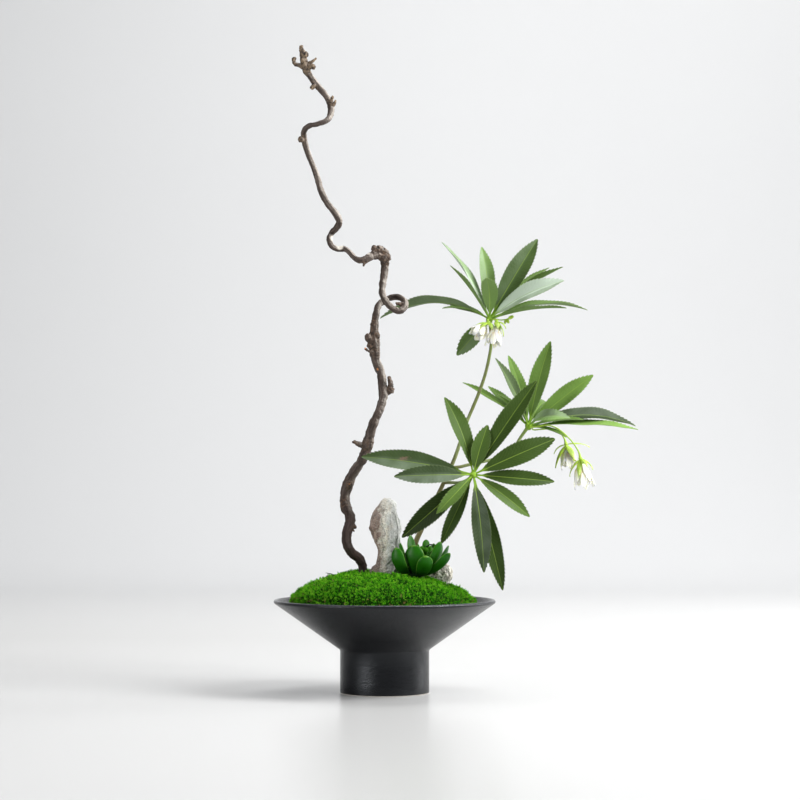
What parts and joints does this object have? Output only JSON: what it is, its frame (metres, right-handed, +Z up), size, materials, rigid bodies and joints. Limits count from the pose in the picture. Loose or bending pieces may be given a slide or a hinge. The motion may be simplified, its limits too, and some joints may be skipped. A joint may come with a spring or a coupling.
{
  "type": "ikebana arrangement",
  "caption": "Footed black bowl filled with a moss mound that carries a corkscrew branch, a standing stone, a small stone, a succulent and a flowering hellebore stem.",
  "frame": {"origin": "centre of the flat underside of the bowl's foot", "axes": "+Z up, +X to the right and -Y towards the viewer, as the arrangement is seen from its front"},
  "size_m": [0.4321, 0.26, 0.7658],
  "materials": {
    "ceramic": "satin",
    "foam": "matte",
    "moss": "matte",
    "bark": "matte",
    "grey_stone": "matte",
    "pale_stone": "matte",
    "succulent": "satin",
    "stem": "satin",
    "leaf": "satin",
    "calyx": "satin",
    "petal": "satin"
  },
  "bodies": {
    "root": {"bowl": "ceramic", "foam": "foam", "moss": "moss", "branch": "bark", "standing_stone": "grey_stone", "small_stone": "pale_stone", "succulent": "succulent", "hellebore_stem": "stem", "leaves_top": "leaf", "leaves_right": "leaf", "leaves_front": "leaf", "calyx_right_upper": "calyx", "petals_right_upper": "petal", "calyx_right_lower": "calyx", "petals_right_lower": "petal", "calyx_top_left": "calyx", "petals_top_left": "petal", "calyx_top_right": "calyx", "petals_top_right": "petal"}
  },
  "joints": []
}
